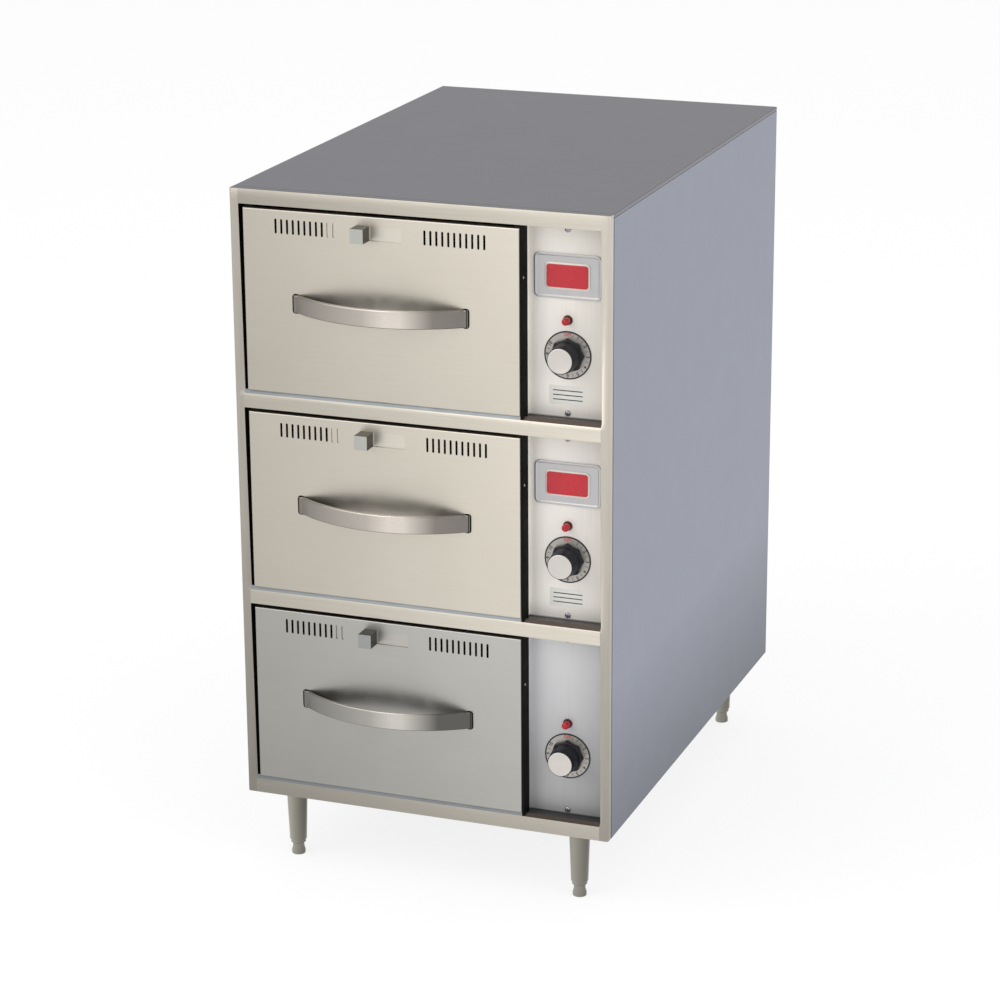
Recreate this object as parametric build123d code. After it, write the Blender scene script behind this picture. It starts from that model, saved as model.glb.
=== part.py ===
from build123d import *
import os

# Narrow three drawer food warming cabinet on legs. Millimetres.
# X runs to the right as seen from the front, Y to the rear, Z up.
# The origin is on the floor, under the middle of the whole outline.

# Cabinet
width = 520.0
depth = 754.0
opening_height = 254.0
rail_height = 20.0
stile_width = 12.7
drawer_count = 3
sheet = 1.2
frame_return = 12.0
edge_radius = 3.0
seam = 0.6
panel_flange = 14.0
bend_radius = 1.0
deck_flange = 16.0
top_flange = 5.0
slip = 0.3

# Drawer fronts
front_width = 380.6
front_return = 11.4
front_side_gap = 5.6
front_bottom_gap = 4.4
front_top_gap = 4.6
corner_radius = 1.5

# Vents and their shutter
slot_width = 3.0
slot_height = 19.5
slot_count = 11
slot_pitch = 8.1
slot_drop = 11.8
vent_group_offset = 103.2
shutter_travel = 44.0
shutter_sheet = 1.0
shutter_margin = 5.6
shutter_closed_slots = 2
tab_width = 18.0
tab_reach = 22.0
guide_lip = 3.0
guide_height = 4.0

# Handle
handle_width = 243.0
handle_height = 24.0
handle_reach = 40.0
handle_thickness = 3.0
handle_foot = 15.0
handle_corner = 4.0
handle_edge = 0.9

# Pan and the carriage that carries it
pan_length = 530.0
pan_width = 325.0
pan_depth = 150.0
pan_sheet = 0.8
pan_rim = 11.5
pan_taper = 10.0
pan_corner = 36.0
pan_floor_radius = 12.0
pan_setback = 20.0
pan_rim_drop = 30.0
rim_clearance = 1.5
carriage_height = 74.0
carriage_setback = 5.0
carriage_rear_margin = 15.0
shutter_room = 18.0

# Telescopic slides, three members on each side of a drawer
travel = 500.0
slide_overlap = 100.0
slide_setback = 20.0
slide_inset = 9.7
slide_height = 45.0
slide_thickness = 14.0
slide_sheet = 1.5
slide_drop = 34.0
member_step = 2.5

# Heat cavity
cavity_length = 640.0
liner_flange = 11.0
element_radius = 4.0
element_level = 22.0
element_half_width = 110.0
element_half_gap = 40.0
element_bend = 28.0
element_setback = 90.0
element_tail = 26.0
saddle_thickness = 3.0
saddle_width = 22.0
saddle_offset = 150.0

# Control column
recess = 27.0
recess_wall_gap = 1.3
dial_drop = 170.5
dial_radius = 31.7
dial_thickness = 1.0
lamp_drop = 124.5
lamp_radius = 4.75
lamp_reach = 13.0
lamp_dome_radius = 2.8
lamp_tail = 3.6
bezel_radius = 6.6
bezel_thickness = 3.0
screw_inset = 7.0
screw_head_radius = 4.0
screw_head_height = 2.4
screw_dome_radius = 1.4
screw_shank_radius = 1.9
screw_length = 8.0
rear_screw_rows = 4

# Thermostat and knob
skirt_points = 8
skirt_radius = 23.0
skirt_thickness = 7.0
grip_base_radius = 19.0
grip_top_radius = 17.5
cap_radius = 16.2
cap_thickness = 0.8
cap_recess = 0.5
knob_reach = 5.0
spindle_radius = 3.0
spindle_length = 14.0
spindle_room = 4.0
bushing_radius = 4.8
shaft_clearance = 0.08
thermostat_width = 44.0
thermostat_height = 36.0
thermostat_depth = 30.0

# Legs
leg_height = 102.0
leg_inset_side = 54.0
leg_inset_front = 42.0
leg_inset_rear = 48.0
leg_top_radius = 14.5
leg_bottom_radius = 11.75
leg_collar_radius = 10.2
leg_collar_height = 3.0
foot_height = 17.0
foot_radius = 9.5
foot_neck_radius = 8.2
foot_rim = 5.0
foot_flare = 7.5
foot_chamfer = 1.0
foot_stem_radius = 5.0
foot_stem_length = 30.0
leg_plate_size = 60.0
leg_plate_thickness = 3.0

# Cord inlet on the rear
gland_radius = 11.0
gland_reach = 12.0
gland_neck_radius = 7.5
gland_bore_radius = 5.0
gland_tail = 3.0
gland_level = 60.0
gland_inset = 62.0

# Places worked out from the sizes above
box_height = drawer_count * opening_height + (drawer_count + 1) * rail_height
base_z = leg_height
top_z = base_z + box_height
face_y = -(depth + gland_reach - handle_reach) / 2
back_y = face_y + depth
side_x = width / 2
opening_left = -side_x + stile_width
opening_right = side_x - stile_width
drawer_x = opening_left + front_side_gap + front_width / 2
slide_outer = front_width / 2 - slide_inset
slide_length = travel + slide_overlap
pitch = opening_height + rail_height
cavity_front = face_y + frame_return
cavity_back = cavity_front + cavity_length
liner_left_x = drawer_x - slide_outer
partition_x = drawer_x + slide_outer
recess_left = drawer_x + front_width / 2 + recess_wall_gap
panel_y = face_y + recess
control_x = (recess_left + sheet + opening_right) / 2
carriage_half = slide_outer - slide_thickness
front_bottom = front_bottom_gap
front_top = opening_height - front_top_gap
pan_rim_level = opening_height - pan_rim_drop
slide_level = pan_rim_level - slide_drop
slot_level = front_top - slot_drop - slot_height / 2
window_width = tab_width + shutter_travel + 2 * slip
window_height = slot_height
shutter_y = face_y + sheet + slip
guide_y = shutter_y + shutter_sheet + slip
shutter_half_height = slot_height / 2 + shutter_margin
knob_back_y = panel_y - dial_thickness - slip
knob_front_y = face_y - knob_reach
stem_z = foot_height - slip
side_flange = stile_width - sheet - slip
rear_y = back_y - sheet
leg_top_z = base_z + sheet - leg_plate_thickness


def level(unit):
    """Height of the lower ledge of an opening; unit 0 is the top one."""
    return base_z + rail_height + (drawer_count - 1 - unit) * pitch


def block(x0, x1, y0, y1, z0, z1):
    """Box between two corners."""
    size = (x1 - x0, y1 - y0, z1 - z0)
    return Pos((x0 + x1) / 2, (y0 + y1) / 2, (z0 + z1) / 2) * Box(*size)


def rod(x, y, z, radius, length, direction=(0, 1, 0)):
    """Round bar that starts at a point and runs along a direction."""
    return extrude(Plane((x, y, z), z_dir=direction) * Circle(radius), length)


def row(count, step):
    """Evenly spaced offsets about zero."""
    return [(i - (count - 1) / 2) * step for i in range(count)]


def spun(points, x, y, z):
    """Turned piece about a vertical axis, from radius and height pairs."""
    outline = make_face(Plane.XZ * Polyline(*points, close=True))
    return Pos(x, y, z) * revolve(outline, Axis.Z)


def save(node, *solids):
    piece = solids[0] if len(solids) == 1 else Compound(children=list(solids))
    export_step(piece, f"parts/{node}.step")


# Outer cabinet


def front_frame():
    """Folded face frame: outer return, and a return round each opening."""
    frame = block(-side_x, side_x, face_y, cavity_front, base_z, top_z)
    corners = frame.edges().filter_by(Axis.Z).group_by(Axis.Y)[0]
    frame = fillet(corners, edge_radius)
    hollow = block(
        -side_x + sheet, side_x - sheet, face_y + sheet, cavity_front,
        base_z + sheet, top_z - sheet,
    )
    bends = hollow.edges().filter_by(Axis.Z).group_by(Axis.Y)[0]
    frame -= fillet(bends, edge_radius - sheet)
    for unit in range(drawer_count):
        low = level(unit)
        high = low + opening_height
        frame += block(
            opening_left - sheet, opening_right + sheet, face_y, cavity_front,
            low - sheet, high + sheet,
        )
    for unit in range(drawer_count):
        low = level(unit)
        high = low + opening_height
        frame -= block(opening_left, opening_right, face_y, cavity_front, low, high)
    return frame


def rear_screw_places():
    """Points on the rear face where screws hold the rear sheet to the sides."""
    reach = box_height / 2 - 2 * rail_height
    heights = [base_z + box_height / 2 + z for z in row(rear_screw_rows, reach * 2 / 3)]
    return [(side * (side_x - side_flange / 2), z) for side in (-1, 1) for z in heights]


def side_panel(side):
    """Side sheet with a flange turned in at its front, rear and lower edges."""
    z1 = top_z - top_flange - seam
    y0 = cavity_front + seam
    inner = side_x - side_flange
    panel = block(side_x - sheet, side_x, y0, rear_y, base_z, z1)
    panel += block(inner, side_x, y0, y0 + sheet, base_z, z1)
    panel += block(inner, side_x, rear_y - sheet, rear_y, base_z, z1)
    panel += block(inner, side_x, y0, rear_y, base_z, base_z + sheet)
    corner = panel.edges().filter_by(Axis.Z).sort_by(Axis.X)[-2:]
    panel = fillet(corner, bend_radius)
    for x, z in rear_screw_places():
        panel -= rod(abs(x), rear_y - sheet, z, screw_shank_radius, sheet)
    return panel if side > 0 else mirror(panel, Plane.YZ)


def top_panel():
    """Top sheet with a short flange turned down on both sides and at the rear."""
    y0 = cavity_front + seam
    panel = block(-side_x, side_x, y0, back_y, top_z - top_flange, top_z)
    bends = panel.edges().filter_by(Axis.Y).group_by(Axis.Z)[-1]
    panel = fillet(bends, sheet)
    return panel - block(
        -side_x + sheet, side_x - sheet, y0, back_y - sheet,
        top_z - top_flange, top_z - sheet,
    )


def bottom_panel():
    """Floor sheet between the side flanges, with its long edges turned up."""
    half = side_x - sheet - slip
    y1 = rear_y - sheet - slip
    z0 = base_z + sheet
    panel = block(-half, half, cavity_front + seam + sheet, y1, z0, z0 + sheet)
    for side in (-1, 1):
        x0, x1 = sorted((side * half, side * (half - sheet)))
        panel += block(
            x0, x1, cavity_front + seam + sheet, y1, z0, z0 + panel_flange,
        )
    return panel


def rear_panel():
    """Rear sheet screwed over the flanges of the sides, with the cord inlet's hole."""
    z1 = top_z - top_flange - seam
    panel = block(-side_x, side_x, rear_y, back_y, base_z, z1)
    for x, z in rear_screw_places():
        panel -= rod(x, rear_y, z, screw_shank_radius, sheet)
    x = side_x - gland_inset
    return panel - rod(x, rear_y, base_z + gland_level, gland_neck_radius, sheet)


def rear_screws():
    """Screws along both upright edges of the rear sheet."""
    return [pan_head_screw(x, back_y, z, 1, 2 * sheet) for x, z in rear_screw_places()]


def pan_head_screw(x, y, z, facing, grip):
    """Domed screw head on a face at y, with its shank behind; facing is +1 or -1."""
    head = rod(x, y, z, screw_head_radius, screw_head_height, (0, facing, 0))
    rim = head.edges().filter_by(GeomType.CIRCLE).sort_by(Axis.Y)
    head = fillet(rim[-1 if facing > 0 else 0], screw_dome_radius)
    return head + rod(x, y, z, screw_shank_radius, grip, (0, -facing, 0))


def cord_gland():
    """Strain relief bush in the rear sheet, without a cord."""
    x = side_x - gland_inset
    z = base_z + gland_level
    bush = rod(x, back_y, z, gland_radius, gland_reach)
    outer = bush.edges().filter_by(GeomType.CIRCLE).sort_by(Axis.Y)[-1]
    bush = chamfer(outer, gland_reach / 4)
    bush += rod(x, rear_y - gland_tail, z, gland_neck_radius, sheet + gland_tail)
    through = gland_reach + sheet + gland_tail
    return bush - rod(x, rear_y - gland_tail, z, gland_bore_radius, through)


# Heat cavity


def cavity_wall(side):
    """Upright wall beside the drawers, with its ends turned away from them."""
    x = liner_left_x if side < 0 else partition_x
    z0 = base_z + 2 * sheet
    z1 = top_z - sheet
    x0, x1 = sorted((x, x + side * sheet))
    wall = block(x0, x1, cavity_front, cavity_back, z0, z1)
    flange = liner_flange if side > 0 else x + side_x - side_flange - slip
    x0, x1 = sorted((x, x + side * flange))
    wall += block(x0, x1, cavity_front, cavity_front + sheet, z0, z1)
    wall += block(x0, x1, cavity_back - sheet, cavity_back, z0, z1)
    return wall


def cavity_rear():
    """Rear wall of the heat cavity, screwed flanges at its lower and upper edge."""
    z0 = base_z + 2 * sheet
    z1 = top_z - sheet
    wall = block(
        liner_left_x, partition_x, cavity_back - sheet, cavity_back, z0, z1,
    )
    for z in (z0, z1 - sheet):
        wall += block(
            liner_left_x, partition_x, cavity_back, cavity_back + panel_flange, z, z + sheet,
        )
    for unit in range(drawer_count):
        z = level(unit) + element_level
        for side in (-1, 1):
            x = drawer_x + side * element_half_width
            wall -= rod(x, cavity_back - 2 * sheet, z, element_radius + slip, 3 * sheet)
    return wall


def deck(z, turned):
    """Sheet across the cavity with its edges turned up or down along all sides."""
    y1 = cavity_back - sheet
    z0, z1 = sorted((z, z + turned * deck_flange))
    shell = block(liner_left_x, partition_x, cavity_front, y1, z0, z1)
    z0, z1 = sorted((z + turned * sheet, z + turned * rail_height))
    return shell - block(
        liner_left_x + sheet, partition_x - sheet, cavity_front + sheet, y1 - sheet, z0, z1,
    )


def decks():
    """Floor of each compartment, and the sheet over the top one."""
    sheets = [deck(level(unit), -1) for unit in range(drawer_count)]
    roof_z = level(0) + opening_height
    return sheets + [deck(roof_z, 1)]


def heating_element(unit):
    """Sheathed element bent into three hairpins, lying over a deck."""
    z = level(unit) + element_level
    rear = cavity_back + element_tail
    turn = cavity_back - element_setback
    front = cavity_front + element_setback
    w = element_half_width
    g = element_half_gap
    route = [
        (-w, rear), (-w, front), (-g, front), (-g, turn),
        (g, turn), (g, front), (w, front), (w, rear),
    ]
    points = [(drawer_x + x, y, z) for x, y in route]
    path = FilletPolyline(*points, radius=element_bend)
    start = Plane(points[0], z_dir=(0, -1, 0))
    return sweep(start * Circle(element_radius), path=path)


def saddles():
    """Upright brackets whose notches carry the elements."""
    pieces = []
    for unit in range(drawer_count):
        z = level(unit)
        for x in (-element_half_width, -element_half_gap, element_half_gap, element_half_width):
            for y in (-saddle_offset, saddle_offset):
                cx = drawer_x + x
                cy = (cavity_front + cavity_back) / 2 + y
                saddle = block(
                    cx - saddle_width / 2, cx + saddle_width / 2, cy, cy + saddle_thickness,
                    z, z + element_level,
                )
                notch = rod(cx, cy, z + element_level, element_radius, saddle_thickness)
                pieces.append(saddle - notch)
    return pieces


# Slides


def channel(side, back_x, thickness, height, y0, z):
    """C section, open toward the drawer, with its web at back_x."""
    x0, x1 = sorted((side * back_x, side * (back_x - thickness)))
    x0 += drawer_x
    x1 += drawer_x
    y1 = y0 + slide_length
    bar = block(x0, x1, y0, y1, z - height / 2, z + height / 2)
    web = side * slide_sheet
    x0, x1 = (x0, x1 - web) if side > 0 else (x0 - web, x1)
    inner = height / 2 - slide_sheet
    return bar - block(x0, x1, y0, y1, z - inner, z + inner)


def slide_member(unit, member):
    """Pair of slide members of a drawer; 0 is fixed, 1 the middle, 2 the drawer's."""
    z = level(unit) + slide_level
    y0 = face_y + slide_setback
    height = slide_height - member * 2 * (slide_sheet + slip)
    gap = slide_sheet + 2 * slip
    outer = slide_outer - member * gap
    room = slide_thickness - member * gap
    pieces = []
    for side in (-1, 1):
        if member < 2:
            length = room - (2 - member) * member_step
            pieces.append(channel(side, outer, length, height, y0, z))
        else:
            x0, x1 = sorted((side * carriage_half, side * outer))
            bar = block(
                drawer_x + x0, drawer_x + x1, y0, y0 + slide_length,
                z - height / 2, z + height / 2,
            )
            cut0, cut1 = sorted((side * (carriage_half + slide_sheet), side * outer))
            bar -= block(
                drawer_x + cut0, drawer_x + cut1, y0, y0 + slide_length,
                z - height / 2 + slide_sheet, z + height / 2 - slide_sheet,
            )
            pieces.append(bar)
    return pieces


# Drawers


def slots(y0, y1, z, offsets):
    """Upright slots with round ends, cut along Y."""
    shape = Plane.XZ * SlotOverall(slot_height, slot_width, rotation=90)
    cutter = extrude(shape, y1 - y0, dir=(0, 1, 0))
    return [Pos(drawer_x + x, y0, z) * cutter for x in offsets]


def vent_offsets():
    """Slot places across the front, left group and right group."""
    group = row(slot_count, slot_pitch)
    return [[side * vent_group_offset + x for x in group] for side in (-1, 1)]


def drawer_front(unit):
    """Folded front with two groups of vents and the window of the shutter's tab."""
    z0 = level(unit) + front_bottom
    z1 = level(unit) + front_top
    half = front_width / 2
    front = block(drawer_x - half, drawer_x + half, face_y, face_y + front_return, z0, z1)
    front = fillet(front.faces().sort_by(Axis.Y)[0].edges(), corner_radius)
    front -= block(
        drawer_x - half + sheet, drawer_x + half - sheet, face_y + sheet,
        face_y + front_return, z0 + sheet, z1 - sheet,
    )
    z = level(unit) + slot_level
    front -= block(
        drawer_x - window_width / 2, drawer_x + window_width / 2,
        face_y, face_y + sheet, z - window_height / 2, z + window_height / 2,
    )
    left, right = vent_offsets()
    for cutter in slots(face_y, face_y + sheet, z, left + right):
        front -= cutter
    return front


def shutter_guides(unit):
    """Stepped strips that hold the shutter behind the front."""
    z = level(unit) + slot_level
    half = front_width / 2 - sheet
    pieces = []
    for side in (-1, 1):
        edge = z + side * (shutter_half_height + slip)
        z0, z1 = sorted((edge, edge + side * guide_height))
        y1 = guide_y + shutter_sheet
        strip = block(drawer_x - half, drawer_x + half, face_y + sheet, y1, z0, z1)
        z0, z1 = sorted((edge - side * guide_lip, edge))
        strip += block(drawer_x - half, drawer_x + half, guide_y, y1, z0, z1)
        pieces.append(strip)
    return pieces


def shutter(unit):
    """Sliding slotted plate with its folded tab, in the open position."""
    z = level(unit) + slot_level
    x0 = drawer_x - front_width / 2 + sheet + slip
    left, right = vent_offsets()
    x1 = drawer_x + right[-1] - slot_pitch / 2
    y1 = shutter_y + shutter_sheet
    half = shutter_half_height
    plate = block(x0, x1, shutter_y, y1, z - half, z + half)
    open_left = left[:slot_count - shutter_closed_slots]
    for cutter in slots(shutter_y, y1, z, open_left + right[:-1]):
        plate -= cutter
    tab_x = drawer_x - window_width / 2 + slip
    tab_half = window_height / 2 - slip
    tab_y = face_y - tab_reach
    plate += block(tab_x, tab_x + tab_width, tab_y, y1, z - tab_half, z + tab_half)
    return plate - block(
        tab_x + shutter_sheet, tab_x + tab_width - shutter_sheet,
        tab_y + shutter_sheet, y1, z - tab_half + shutter_sheet, z + tab_half - shutter_sheet,
    )


def handle(unit):
    """Bowed strap whose flat ends lie on the drawer front."""
    half = handle_width / 2
    spring = half - handle_foot
    t = handle_thickness
    outer = ThreePointArc((-spring, t), (0, handle_reach), (spring, t))
    inner = ThreePointArc((-spring + t, 0), (0, handle_reach - t), (spring - t, 0))
    ends = [
        Polyline((spring, t), (half, t), (half, 0), (spring - t, 0)),
        Polyline((-spring + t, 0), (-half, 0), (-half, t), (-spring, t)),
    ]
    outline = make_face([outer, inner] + ends)
    strap = extrude(outline, handle_height / 2, both=True)
    corners = strap.edges().filter_by(Axis.Y)
    strap = fillet(corners.group_by(Axis.X)[0] + corners.group_by(Axis.X)[-1], handle_corner)
    front = strap.faces().sort_by(Axis.Y)[-1]
    strap = fillet(front.edges(), handle_edge)
    z = level(unit) + (front_bottom + front_top) / 2
    return Pos(drawer_x, face_y, z) * mirror(strap, Plane.XZ)


def carriage(unit):
    """Open frame behind the front; its ledge carries the rim of the pan."""
    z1 = level(unit) + pan_rim_level
    z0 = z1 - carriage_height
    step_z = z1 - shutter_room
    y0 = face_y + sheet
    step_y = face_y + carriage_setback
    pan_front = face_y + pan_setback
    y1 = pan_front + pan_length + carriage_rear_margin
    x0 = drawer_x - carriage_half
    x1 = drawer_x + carriage_half
    frame = block(x0, x1, y0, y1, z0, z1)
    frame -= block(x0 + sheet, x1 - sheet, y0 + sheet, y1 - sheet, z0, z1 - sheet)
    land = pan_rim - rim_clearance
    frame -= block(
        drawer_x - pan_width / 2 + land, drawer_x + pan_width / 2 - land,
        pan_front + land, pan_front + pan_length - land, z1 - sheet, z1,
    )
    frame -= block(x0, x1, y0, step_y, step_z, z1)
    frame += block(x0, x1, step_y, step_y + sheet, step_z - sheet, z1)
    return frame + block(x0, x1, y0, step_y + sheet, step_z - sheet, step_z)


def pan(unit):
    """Deep tapered food pan with round corners and a turned rim."""
    z1 = level(unit) + pan_rim_level + pan_sheet
    y = face_y + pan_setback + pan_length / 2
    top_w = pan_width - 2 * pan_rim
    top_l = pan_length - 2 * pan_rim

    def well(wall):
        mouth = RectangleRounded(top_w - 2 * wall, top_l - 2 * wall, pan_corner - wall)
        narrow = 2 * pan_taper + 2 * wall
        base = RectangleRounded(top_w - narrow, top_l - narrow, pan_corner - pan_taper / 2 - wall)
        depth_here = pan_depth - wall
        shape = loft([Pos(0, 0, -depth_here) * base, mouth])
        return fillet(shape.faces().sort_by(Axis.Z)[0].edges(), pan_floor_radius - wall)

    rim = extrude(RectangleRounded(pan_width, pan_length, pan_corner + pan_rim), -pan_sheet)
    body = rim + well(0) - well(pan_sheet)
    return Pos(drawer_x, y, z1) * body


# Control column


def control_panel(unit):
    """Recessed tray beside the drawer, with its left edge brought to the face."""
    low = level(unit)
    high = low + opening_height
    x1 = opening_right + sheet
    y1 = panel_y + sheet
    panel = block(recess_left, x1, cavity_front, y1, low - sheet, high + sheet)
    panel -= block(recess_left + sheet, opening_right, cavity_front, panel_y, low, high)
    panel += block(
        recess_left, recess_left + sheet, face_y + slip, cavity_front, low + slip, high - slip,
    )
    panel -= rod(control_x, panel_y, high - dial_drop, bushing_radius, sheet)
    panel -= rod(control_x, panel_y, high - lamp_drop, lamp_radius, sheet)
    for z in (high - screw_inset, low + screw_inset):
        panel -= rod(control_x, panel_y, z, screw_shank_radius, sheet)
    return panel


def panel_screws():
    pieces = []
    for unit in range(drawer_count):
        low = level(unit)
        for z in (low + opening_height - screw_inset, low + screw_inset):
            pieces.append(pan_head_screw(control_x, panel_y, z, -1, screw_length))
    return pieces


def dial_plates():
    pieces = []
    for unit in range(drawer_count):
        z = level(unit) + opening_height - dial_drop
        plate = rod(control_x, panel_y, z, dial_radius, dial_thickness, (0, -1, 0))
        pieces.append(plate - rod(control_x, panel_y, z, bushing_radius, dial_thickness, (0, -1, 0)))
    return pieces


def lamp_bezels():
    pieces = []
    for unit in range(drawer_count):
        z = level(unit) + opening_height - lamp_drop
        bezel = rod(control_x, panel_y, z, bezel_radius, bezel_thickness, (0, -1, 0))
        rim = bezel.edges().filter_by(GeomType.CIRCLE).sort_by(Axis.Y)[0]
        bezel = chamfer(rim, bezel_thickness / 3)
        pieces.append(bezel - rod(control_x, panel_y, z, lamp_radius, bezel_thickness, (0, -1, 0)))
    return pieces


def lamp_lenses():
    pieces = []
    for unit in range(drawer_count):
        z = level(unit) + opening_height - lamp_drop
        tail_y = panel_y + sheet + lamp_tail
        length = lamp_reach + sheet + lamp_tail
        lens = rod(control_x, tail_y, z, lamp_radius, length, (0, -1, 0))
        rim = lens.edges().filter_by(GeomType.CIRCLE).sort_by(Axis.Y)[0]
        pieces.append(fillet(rim, lamp_dome_radius))
    return pieces


def thermostats():
    """Control bodies behind the panel, each with the bushing of its spindle."""
    pieces = []
    for unit in range(drawer_count):
        z = level(unit) + opening_height - dial_drop
        y0 = panel_y + sheet
        body = block(
            control_x - thermostat_width / 2, control_x + thermostat_width / 2,
            y0, y0 + thermostat_depth, z - thermostat_height / 2, z + thermostat_height / 2,
        )
        tip = panel_y - dial_thickness
        body += rod(control_x, tip, z, bushing_radius, sheet + dial_thickness)
        bore = spindle_radius + shaft_clearance
        pieces.append(body - rod(control_x, tip, z, bore, spindle_length + spindle_room))
    return pieces


def knob(unit):
    """Eight pointed skirt under a tapered grip, with the spindle behind."""
    z = level(unit) + opening_height - dial_drop
    face = Plane((control_x, knob_back_y, z), z_dir=(0, -1, 0))
    height = knob_back_y - knob_front_y
    skirt = extrude(face * RegularPolygon(skirt_radius, skirt_points), skirt_thickness)
    points = skirt.edges().filter_by(Axis.Y)
    skirt = fillet(points, skirt_thickness / 4)
    base = face.offset(skirt_thickness) * Circle(grip_base_radius)
    grip = loft([base, face.offset(height) * Circle(grip_top_radius)])
    turned = skirt + grip
    front = turned.edges().filter_by(GeomType.CIRCLE).sort_by(Axis.Y)[0]
    turned = fillet(front, cap_thickness)
    turned -= rod(control_x, knob_front_y, z, cap_radius, cap_recess)
    return turned + rod(control_x, knob_back_y, z, spindle_radius, spindle_length)


def knob_cap(unit):
    """Bright disc let into the front of a knob."""
    z = level(unit) + opening_height - dial_drop
    cap = rod(control_x, knob_front_y + cap_recess, z, cap_radius, cap_thickness, (0, -1, 0))
    rim = cap.edges().filter_by(GeomType.CIRCLE).sort_by(Axis.Y)[0]
    return chamfer(rim, cap_thickness / 3)


# Legs


def leg_places():
    ys = (face_y + leg_inset_front, back_y - leg_inset_rear)
    return [(side * (side_x - leg_inset_side), y) for y in ys for side in (-1, 1)]


def leg(x, y):
    """Tapered leg with a collar at its lower end and a bore for the foot."""
    bore = foot_stem_radius + shaft_clearance
    outline = [
        (bore, foot_height),
        (leg_collar_radius, foot_height),
        (leg_collar_radius, foot_height + leg_collar_height),
        (leg_bottom_radius, foot_height + 2 * leg_collar_height),
        (leg_top_radius, leg_top_z),
        (0, leg_top_z),
        (0, foot_height + foot_stem_length + leg_collar_height),
        (bore, foot_height + foot_stem_length + leg_collar_height),
    ]
    return spun(outline, x, y, 0)


def foot(x, y):
    """Levelling foot: flared shoe with a stem up into the leg."""
    outline = [
        (0, 0),
        (foot_radius - foot_chamfer, 0),
        (foot_radius, foot_chamfer),
        (foot_radius, foot_rim),
        (foot_neck_radius, foot_rim + foot_flare),
        (foot_neck_radius, stem_z),
        (foot_stem_radius, stem_z),
        (foot_stem_radius, stem_z + foot_stem_length),
        (0, stem_z + foot_stem_length),
    ]
    return spun(outline, x, y, 0)


def leg_plates():
    """Square mounting plates between the legs and the floor sheet."""
    half = leg_plate_size / 2
    low = cavity_front + slip
    return [
        block(x - half, x + half, max(y - half, low), y + half, leg_top_z, base_z + sheet)
        for x, y in leg_places()
    ]


os.makedirs("parts", exist_ok=True)

save("front_frame", front_frame())
save("side_panel_left", side_panel(-1))
save("side_panel_right", side_panel(1))
save("top_panel", top_panel())
save("bottom_panel", bottom_panel())
save("rear_panel", rear_panel())
save("rear_screws", *rear_screws())
save("cord_gland", cord_gland())
save("cavity_wall_left", cavity_wall(-1))
save("partition_wall", cavity_wall(1))
save("cavity_rear", cavity_rear())
save("decks", *decks())
save("heating_elements", *[heating_element(unit) for unit in range(drawer_count)])
save("element_saddles", *saddles())
save("outer_rails", *[bar for unit in range(drawer_count) for bar in slide_member(unit, 0)])
save("panel_screws", *panel_screws())
save("dial_plates", *dial_plates())
save("lamp_bezels", *lamp_bezels())
save("lamp_lenses", *lamp_lenses())
save("thermostats", *thermostats())
save("leg_plates", *leg_plates())
save("legs", *[leg(x, y) for x, y in leg_places()])
for number, place in enumerate(leg_places(), 1):
    save(f"foot_{number}", foot(*place))
for unit in range(drawer_count):
    number = unit + 1
    save(f"control_panel_{number}", control_panel(unit))
    save(f"drawer_front_{number}", drawer_front(unit))
    save(f"handle_{number}", handle(unit))
    save(f"shutter_guides_{number}", *shutter_guides(unit))
    save(f"shutter_{number}", shutter(unit))
    save(f"carriage_{number}", carriage(unit))
    save(f"pan_{number}", pan(unit))
    save(f"inner_rails_{number}", *slide_member(unit, 2))
    save(f"middle_rails_{number}", *slide_member(unit, 1))
    save(f"knob_{number}", knob(unit))
    save(f"knob_cap_{number}", knob_cap(unit))
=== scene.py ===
import bpy
import bmesh
import math
from mathutils import Matrix, Vector


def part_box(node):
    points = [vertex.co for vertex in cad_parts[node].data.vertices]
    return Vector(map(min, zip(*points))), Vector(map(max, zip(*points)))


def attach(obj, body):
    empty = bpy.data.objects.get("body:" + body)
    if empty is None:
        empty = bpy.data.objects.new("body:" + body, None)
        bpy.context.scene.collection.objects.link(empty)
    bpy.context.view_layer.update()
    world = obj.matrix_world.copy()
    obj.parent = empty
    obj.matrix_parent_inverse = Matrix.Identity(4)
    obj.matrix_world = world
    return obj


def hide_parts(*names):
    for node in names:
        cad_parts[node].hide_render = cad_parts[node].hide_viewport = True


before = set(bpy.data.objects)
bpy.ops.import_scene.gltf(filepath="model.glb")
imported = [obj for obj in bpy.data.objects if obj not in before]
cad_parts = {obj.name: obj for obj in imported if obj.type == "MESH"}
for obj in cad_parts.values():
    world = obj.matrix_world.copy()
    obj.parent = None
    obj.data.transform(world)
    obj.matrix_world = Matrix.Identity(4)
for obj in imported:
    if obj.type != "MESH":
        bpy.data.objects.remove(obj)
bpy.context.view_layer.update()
units = (1, 2, 3)  # drawers, from the top
mm = 0.001
quarterTurn = math.radians(90)
along = 0.9  # a direction counts as along an axis above this


# Modelling helpers

def clearSelection():
    if bpy.context.object and bpy.context.object.mode != "OBJECT":
        bpy.ops.object.mode_set(mode="OBJECT")
    bpy.ops.object.select_all(action="DESELECT")


def choose(obj):
    clearSelection()
    obj.select_set(True)
    bpy.context.view_layer.objects.active = obj


def settle(obj):  # place, turn and scale go into the mesh
    choose(obj)
    bpy.ops.object.transform_apply(location=True, rotation=True, scale=True)


def addBlock(name, low, high):
    clearSelection()
    centre = [(a + b) / 2 for a, b in zip(low, high)]
    size = [b - a for a, b in zip(low, high)]
    bpy.ops.mesh.primitive_cube_add(size=1, location=centre, scale=size)
    obj = bpy.context.object
    obj.name = name
    settle(obj)
    return obj


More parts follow.
